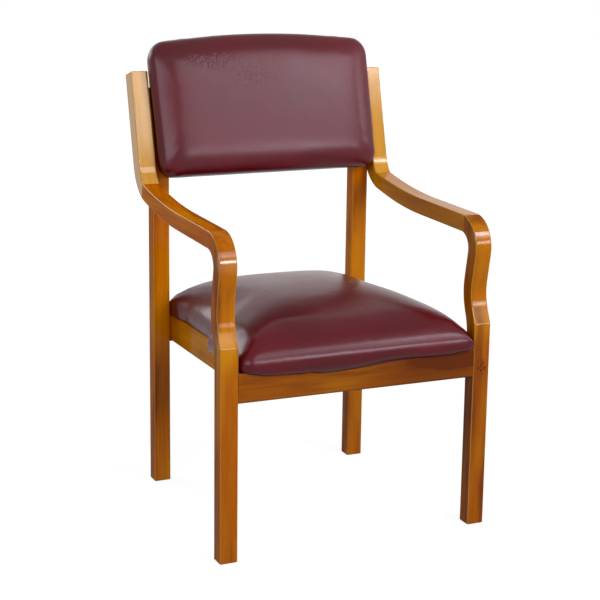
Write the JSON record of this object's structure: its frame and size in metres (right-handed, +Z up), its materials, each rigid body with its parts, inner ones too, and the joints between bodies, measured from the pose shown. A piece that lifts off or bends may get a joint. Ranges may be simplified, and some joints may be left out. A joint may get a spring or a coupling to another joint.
{
  "type": "wooden armchair",
  "caption": "Wooden armchair with curved sawn side frames, padded burgundy vinyl seat and padded back.",
  "frame": {"origin": "on the floor under the middle of the chair's outline", "axes": "+Z up, -Y the front where the sitter faces, +X to the right seen from the front"},
  "size_m": [0.6, 0.5902, 1.0056],
  "materials": {
    "lacquered_wood": "honey-amber stain under gloss lacquer",
    "dowel_wood": "plain beech",
    "plywood": "raw plywood",
    "burgundy_vinyl": "smooth semi-gloss vinyl",
    "foam": "open-cell foam",
    "black_cloth": "thin non-woven cloth",
    "zinc_steel": "zinc plated",
    "brass": "plain"
  },
  "bodies": {
    "root": {"front_leg_left": "lacquered_wood", "front_leg_right": "lacquered_wood", "armrest_left": "lacquered_wood", "armrest_right": "lacquered_wood", "back_post_left": "lacquered_wood", "back_post_right": "lacquered_wood", "rear_leg_left": "lacquered_wood", "rear_leg_right": "lacquered_wood", "front_rail": "lacquered_wood", "rear_rail": "lacquered_wood", "side_rail_left": "lacquered_wood", "side_rail_right": "lacquered_wood", "corner_blocks": "dowel_wood", "arm_front_dowels": "dowel_wood", "arm_rear_dowels": "dowel_wood", "front_rail_dowels": "dowel_wood", "rear_rail_dowels": "dowel_wood", "side_rail_dowels": "dowel_wood", "seat_board": "plywood", "back_board": "plywood", "seat_cover": "burgundy_vinyl", "back_cover": "burgundy_vinyl", "back_panel": "burgundy_vinyl", "seat_foam": "foam", "back_foam": "foam", "seat_underlining": "black_cloth", "corner_block_screws": "zinc_steel", "seat_screws": "zinc_steel", "back_screws": "zinc_steel", "frame_bolts": "zinc_steel", "frame_inserts": "brass"}
  },
  "joints": []
}
